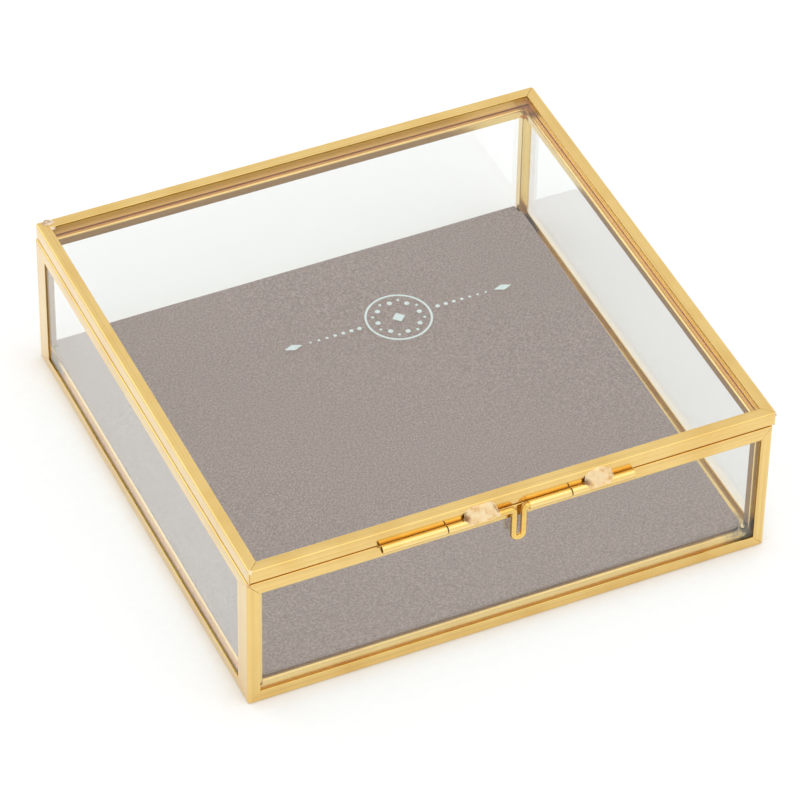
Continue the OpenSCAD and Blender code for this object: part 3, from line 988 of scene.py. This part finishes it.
def printed(points, level):
    """Points of the print at a level of the ink."""
    return [(lid_x + x * MM, middle_y + y * MM, level) for x, y in points]


def filled(outline, verts, faces):
    loft([printed(outline, ink_low), printed(outline, ink_high)], verts, faces)


def dot(x, y, radius, verts, faces):
    filled([(x + dx, y + dy) for dx, dy in circle(radius, 20)], verts, faces)


def diamond(x, length, breadth, verts, faces):
    filled([(x - length / 2, 0), (x, -breadth / 2), (x + length / 2, 0), (x, breadth / 2)], verts, faces)


verts, faces = [], []
loft([
    printed([inside, outside], ink_low) + printed([outside, inside], ink_high)
    for inside, outside in zip(circle(ring_r - ring_line / 2, 72), circle(ring_r + ring_line / 2, 72))
], verts, faces, loop=True)
for k, (x, y) in enumerate(circle(1, 16)):
    reach, radius = small_dot if k % 2 else large_dot
    dot(reach * x, reach * y, radius, verts, faces)
diamond(0, 5, 5, verts, faces)
for sign in (-1, 1):
    for k in range(row_dots):
        dot(sign * (row_start + row_step * k), 0, row_dot - row_fade * k, verts, faces)
    diamond(sign * end_diamond_x, 7, 3, verts, faces)
ink = piece("lid_print", verts, faces, INK, "lid", sharp=30)

# ---------------------------------------------------------------- stage, light and camera
floor_half = 3.0
floor_corners = [(x * floor_half, y * floor_half, 0) for x, y in ((-1, -1), (1, -1), (1, 1), (-1, 1))]
mesh = bpy.data.meshes.new("floor")
mesh.from_pydata(floor_corners, [], [(0, 1, 2, 3)])
mesh.materials.append(paper_floor("floor_white"))
floor = bpy.data.objects.new("floor", mesh)
bpy.context.scene.collection.objects.link(floor)

world = bpy.data.worlds.new("studio")
world.use_nodes = True
world.node_tree.nodes["Background"].inputs["Color"].default_value = (1.0, 1.0, 1.0, 1)
world.node_tree.nodes["Background"].inputs["Strength"].default_value = 0.975
bpy.context.scene.world = world


LAMP_AIM = Vector((0, 0, 0.03))


def softbox(name, place, side, power):
    """A square lamp that points at the box."""
    lamp = bpy.data.lights.new(name, "AREA")
    lamp.shape = "SQUARE"
    lamp.size = side
    lamp.energy = power
    obj = bpy.data.objects.new(name, lamp)
    obj.location = place
    obj.rotation_euler = (LAMP_AIM - Vector(place)).to_track_quat("-Z", "Y").to_euler()
    bpy.context.scene.collection.objects.link(obj)


softbox("overhead_box", (0.25, -0.45, 1.2), 1.5, 3.0)
softbox("back_left_box", (-0.85, 1.1, 0.9), 0.9, 2.0)

# The camera comes from the fit to the box's corners, in units of the lid's width.
azimuth, elevation, roll = math.radians(-25.124), math.radians(42.4005), math.radians(1.0923)
away = 9.0141 * lid_w
target = Vector((0.0601 * lid_w + lid_x, 0.1146 * lid_w + middle_y, 0))
shift_left, shift_down = 0.13 * MM, 0.26 * MM
focal_px, frame_px, sensor_mm = 4895.6, 800, 36
back = Vector((
    math.sin(azimuth) * math.cos(elevation), -math.cos(azimuth) * math.cos(elevation), math.sin(elevation)))
flat_right = Vector((0, 0, 1)).cross(back).normalized()
flat_up = back.cross(flat_right)
right = flat_right * math.cos(roll) + flat_up * math.sin(roll)
up = flat_up * math.cos(roll) - flat_right * math.sin(roll)
lens = bpy.data.cameras.new("camera")
lens.sensor_width = sensor_mm
lens.lens = focal_px / frame_px * sensor_mm
lens.clip_start, lens.clip_end = 0.05, 20
camera = bpy.data.objects.new("camera", lens)
place = target - right * shift_left - up * shift_down + back * away
camera.matrix_world = Matrix((
    (right.x, up.x, back.x, place.x), (right.y, up.y, back.y, place.y),
    (right.z, up.z, back.z, place.z), (0, 0, 0, 1)))
bpy.context.scene.collection.objects.link(camera)
bpy.context.scene.camera = camera
bpy.context.scene.view_settings.view_transform = "Standard"
bpy.context.scene.view_settings.look = "None"
